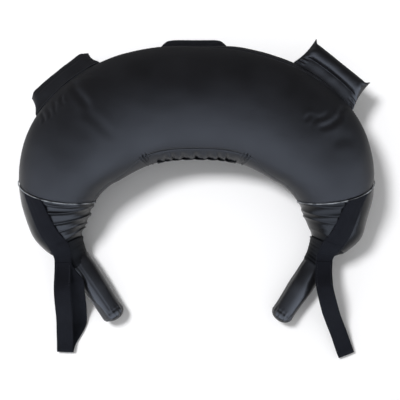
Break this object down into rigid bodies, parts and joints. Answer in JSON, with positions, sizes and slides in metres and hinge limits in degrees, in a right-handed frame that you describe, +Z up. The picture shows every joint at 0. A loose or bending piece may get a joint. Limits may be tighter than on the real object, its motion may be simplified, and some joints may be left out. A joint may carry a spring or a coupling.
{
  "type": "bulgarian bag",
  "caption": "Crescent-shaped weighted training bag lying on its back, with padded horn handles, webbing hand loops, shoulder grips and a crown strap.",
  "frame": {"origin": "on the floor under the middle of the crown's section, on the plane of symmetry", "axes": "+X along the bag's span, +Y from the horns to the crown, +Z up through the front panel"},
  "size_m": [0.7096, 0.65, 0.17],
  "materials": {
    "leather": "smooth black PU leather with a satin sheen",
    "piping": "turned leather edge over a cord",
    "wrap": "black PU leather wound and gathered",
    "handle_leather": "black PU leather drawn over a roll",
    "webbing": "matt black nylon webbing",
    "canvas": "undyed cotton canvas",
    "sand": "sand in a sewn pouch",
    "wool": "packed wool waste",
    "foam": "dense foam roll"
  },
  "bodies": {
    "bag": {"front_panel": "leather", "back_panel": "leather", "outer_gusset": "leather", "inner_gusset": "leather", "closure_strip": "leather", "left_end_panel": "leather", "right_end_panel": "leather", "left_hem": "piping", "right_hem": "piping", "left_side_strap": "webbing", "right_side_strap": "webbing", "inner_liner": "canvas", "centre_sand_pouch": "sand", "left_sand_pouch": "sand", "right_sand_pouch": "sand", "left_wool_packing": "wool", "right_wool_packing": "wool"},
    "left_neck": {"left_neck_wrap": "wrap"},
    "right_neck": {"right_neck_wrap": "wrap"},
    "left_handle": {"left_handle_cover": "handle_leather", "left_handle_core": "foam"},
    "right_handle": {"right_handle_cover": "handle_leather", "right_handle_core": "foam"},
    "left_loop": {"left_hand_loop": "webbing"},
    "right_loop": {"right_hand_loop": "webbing"},
    "left_grip": {"left_grip_cover": "handle_leather", "left_grip_core": "foam"},
    "right_grip": {"right_grip_cover": "handle_leather", "right_grip_core": "foam"},
    "top_strap": {"top_handle": "webbing"}
  },
  "joints": [
    {"name": "left_handle_swing", "type": "hinge", "parent": "bag", "child": "left_neck", "pos_m": [-0.24323, -0.3192, 0.02875], "axis": [0, 0, 1], "range_deg": [-10, 25], "deforming": ["left_neck_wrap"]},
    {"name": "left_handle_flex", "type": "hinge", "parent": "left_neck", "child": "left_handle", "pos_m": [-0.24323, -0.3192, 0.02875], "axis": [-0.8339, -0.5519, 0], "range_deg": [-20, 30], "deforming": ["left_neck_wrap"]},
    {"name": "left_loop_lift", "type": "hinge", "parent": "left_handle", "child": "left_loop", "pos_m": [-0.25526, -0.33332, 0.05002], "axis": [-0.6269, -0.4358, -0.6458], "range_deg": [0, 55]},
    {"name": "left_grip_fold", "type": "hinge", "parent": "bag", "child": "left_grip", "pos_m": [-0.25644, 0.04021, 0.085], "axis": [0.7786, 0.6275, 0.0038], "range_deg": [-5, 85]},
    {"name": "right_handle_swing", "type": "hinge", "parent": "bag", "child": "right_neck", "pos_m": [0.24323, -0.3192, 0.02875], "axis": [0, 0, 1], "range_deg": [-25, 10], "deforming": ["right_neck_wrap"]},
    {"name": "right_handle_flex", "type": "hinge", "parent": "right_neck", "child": "right_handle", "pos_m": [0.24323, -0.3192, 0.02875], "axis": [-0.8339, 0.5519, 0], "range_deg": [-20, 30], "deforming": ["right_neck_wrap"]},
    {"name": "right_loop_lift", "type": "hinge", "parent": "right_handle", "child": "right_loop", "pos_m": [0.25131, -0.33057, 0.05329], "axis": [-0.7237, 0.5031, 0.4723], "range_deg": [0, 55]},
    {"name": "right_grip_fold", "type": "hinge", "parent": "bag", "child": "right_grip", "pos_m": [0.25644, 0.04021, 0.085], "axis": [0.7786, -0.6275, -0.0038], "range_deg": [-55, 40]},
    {"name": "top_handle_fold", "type": "hinge", "parent": "bag", "child": "top_strap", "pos_m": [0, 0.10163, 0.03805], "axis": [1, 0, 0], "range_deg": [-50, 15]}
  ]
}
